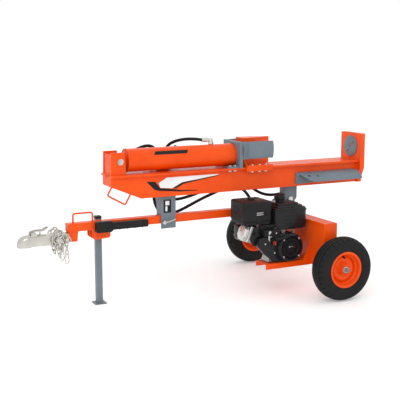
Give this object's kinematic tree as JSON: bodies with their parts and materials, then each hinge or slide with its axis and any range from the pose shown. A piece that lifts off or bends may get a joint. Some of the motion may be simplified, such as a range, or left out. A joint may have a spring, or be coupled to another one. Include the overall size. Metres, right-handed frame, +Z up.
{
  "type": "log splitter",
  "caption": "Towable hydraulic log splitter: ram and wedge on a tilting beam, engine and pump, oil-tank axle, two tyres, jack leg and ball hitch.",
  "frame": {"origin": "on the ground under the middle of the machine's length and width", "axes": "+X from the hitch towards the log end, +Y across the wheels, +Z up"},
  "size_m": [2.426, 1.276, 1.0196],
  "materials": {
    "orange_powder": "semi-gloss orange powder coat",
    "grey_powder": "satin blue-grey powder coat",
    "black_paint": "gloss black stove enamel",
    "black_plastic": "moulded black plastic",
    "red_plastic": "moulded red plastic",
    "zinc_plate": "bright zinc plate",
    "bright_steel": "machined steel",
    "chrome_rod": "hard chrome, polished",
    "cast_alloy": "die-cast aluminium",
    "bright_alloy": "bright die-cast aluminium",
    "grey_iron": "painted cast iron",
    "filter_black": "black enamel",
    "tyre_rubber": "black tyre rubber",
    "hose_rubber": "black hose rubber"
  },
  "bodies": {
    "chassis": {"wheel_bearings": "bright_steel", "wheel_spindles": "grey_powder", "hydraulic_tank": "orange_powder", "return_filter": "filter_black", "engine_mount": "orange_powder", "tongue": "orange_powder", "tongue_handle": "orange_powder", "coupler_body": "zinc_plate", "manual_holder": "black_plastic", "jack_bracket": "orange_powder", "frame_bolts": "zinc_plate", "engine_block": "cast_alloy", "valve_cover": "bright_alloy", "air_cleaner": "black_plastic", "fuel_tank": "black_paint", "blower_housing": "black_paint", "muffler": "black_paint", "carburetor": "cast_alloy", "spark_plug": "hose_rubber", "pump_adapter": "cast_alloy", "hydraulic_pump": "grey_iron", "suction_hose": "hose_rubber", "pressure_hose": "hose_rubber", "return_hose": "hose_rubber"},
    "left_wheel": {"left_tyre": "tyre_rubber", "left_rim": "orange_powder"},
    "right_wheel": {"right_tyre": "tyre_rubber", "right_rim": "orange_powder"},
    "jack": {"jack_leg": "grey_powder", "jack_cap": "black_plastic"},
    "jack_lock": {"jack_pin": "zinc_plate"},
    "beam_frame": {"beam": "orange_powder", "beam_brackets": "grey_powder", "hinge_pins": "zinc_plate", "beam_handle": "orange_powder", "foot_plate": "orange_powder", "foot_disc": "grey_powder", "cylinder_barrel": "orange_powder", "control_valve": "grey_iron", "cylinder_hoses": "hose_rubber", "stripper": "grey_powder", "beam_bolts": "zinc_plate", "log_cradles": "grey_powder"},
    "beam_lock": {"lock_pin": "zinc_plate"},
    "valve_handle": {"valve_lever": "black_plastic"},
    "ram": {"piston_rod": "chrome_rod", "wedge": "orange_powder", "wedge_gibs": "orange_powder", "wedge_bolts": "zinc_plate"},
    "latch": {"coupler_latch": "zinc_plate"},
    "clamp": {"coupler_clamp": "zinc_plate"},
    "holder_lid": {"holder_cap": "black_plastic"},
    "oil_cap": {"tank_cap": "black_plastic"},
    "petrol_cap": {"fuel_cap": "black_plastic"},
    "recoil": {"recoil_handle": "black_plastic"},
    "throttle": {"throttle_lever": "bright_steel"},
    "switch": {"engine_switch": "red_plastic"},
    "crank": {"crankshaft": "bright_steel"},
    "near_safety_chain": {"near_chain": "zinc_plate"},
    "far_safety_chain": {"far_chain": "zinc_plate"}
  },
  "joints": [
    {"name": "left_wheel_spin", "type": "hinge", "parent": "chassis", "child": "left_wheel", "pos_m": [0.71, -0.568, 0.205], "axis": [0, 1, 0], "continuous": true},
    {"name": "right_wheel_spin", "type": "hinge", "parent": "chassis", "child": "right_wheel", "pos_m": [0.71, 0.568, 0.205], "axis": [0, 1, 0], "continuous": true},
    {"name": "beam_tilt", "type": "hinge", "parent": "chassis", "child": "beam_frame", "pos_m": [0.658, 0, 0.575], "axis": [0, 1, 0], "range_deg": [0, 90], "deforming": ["pressure_hose", "return_hose"]},
    {"name": "jack_fold", "type": "hinge", "parent": "chassis", "child": "jack", "pos_m": [-0.695, 0.05, 0.446], "axis": [0, -1, 0], "range_deg": [0, 90]},
    {"name": "jack_lock_slide", "type": "slide", "parent": "chassis", "child": "jack_lock", "axis": [0, -1, 0], "range_m": [0, 0.018]},
    {"name": "beam_lock_slide", "type": "slide", "parent": "beam_frame", "child": "beam_lock", "axis": [0, 1, 0], "range_m": [0, 0.018]},
    {"name": "ram_slide", "type": "slide", "parent": "beam_frame", "child": "ram", "axis": [1, 0, 0], "range_m": [0, 0.61]},
    {"name": "valve_lever_swing", "type": "hinge", "parent": "beam_frame", "child": "valve_handle", "pos_m": [-0.117, 0.136, 0.868], "axis": [0, 1, 0], "range_deg": [-22, 22], "stiffness_Nm_per_rad": 4},
    {"name": "latch_lift", "type": "hinge", "parent": "chassis", "child": "latch", "pos_m": [-1.122, 0, 0.497], "axis": [0, -1, 0], "range_deg": [0, 95]},
    {"name": "clamp_slide", "type": "slide", "parent": "chassis", "child": "clamp", "axis": [0, 0, -1], "range_m": [0, 0.006]},
    {"name": "holder_lid_slide", "type": "slide", "parent": "chassis", "child": "holder_lid", "axis": [-1, 0, 0], "range_m": [0, 0.09]},
    {"name": "oil_cap_turn", "type": "hinge", "parent": "chassis", "child": "oil_cap", "pos_m": [0.682, 0.395, 0.494], "axis": [0, 0, 1], "continuous": true},
    {"name": "petrol_cap_turn", "type": "hinge", "parent": "chassis", "child": "petrol_cap", "pos_m": [0.469, -0.2, 0.612], "axis": [0, 0, 1], "continuous": true},
    {"name": "recoil_pull", "type": "slide", "parent": "chassis", "child": "recoil", "axis": [0, -1, 0], "range_m": [0, 0.6], "stiffness_N_per_m": 20, "springref_m": -0.2},
    {"name": "throttle_swing", "type": "hinge", "parent": "chassis", "child": "throttle", "pos_m": [0.307, -0.34, 0.39], "axis": [0, 1, 0], "range_deg": [-35, 0]},
    {"name": "switch_turn", "type": "hinge", "parent": "chassis", "child": "switch", "pos_m": [0.343, -0.348, 0.362], "axis": [0, 1, 0], "range_deg": [0, 90]},
    {"name": "near_chain_swing", "type": "hinge", "parent": "chassis", "child": "near_safety_chain", "pos_m": [-0.927, 0, 0.452], "axis": [0, 1, 0], "range_deg": [-25, 25]},
    {"name": "far_chain_swing", "type": "hinge", "parent": "chassis", "child": "far_safety_chain", "pos_m": [-0.927, 0, 0.452], "axis": [0, 1, 0], "range_deg": [-25, 25]},
    {"name": "crank_spin", "type": "hinge", "parent": "chassis", "child": "crank", "pos_m": [0.473, 0, 0.318], "axis": [0, 1, 0], "continuous": true}
  ],
  "couplings": [
    {"joint": "clamp_slide", "follows": "latch_lift", "m_per_rad": 0.003619}
  ]
}
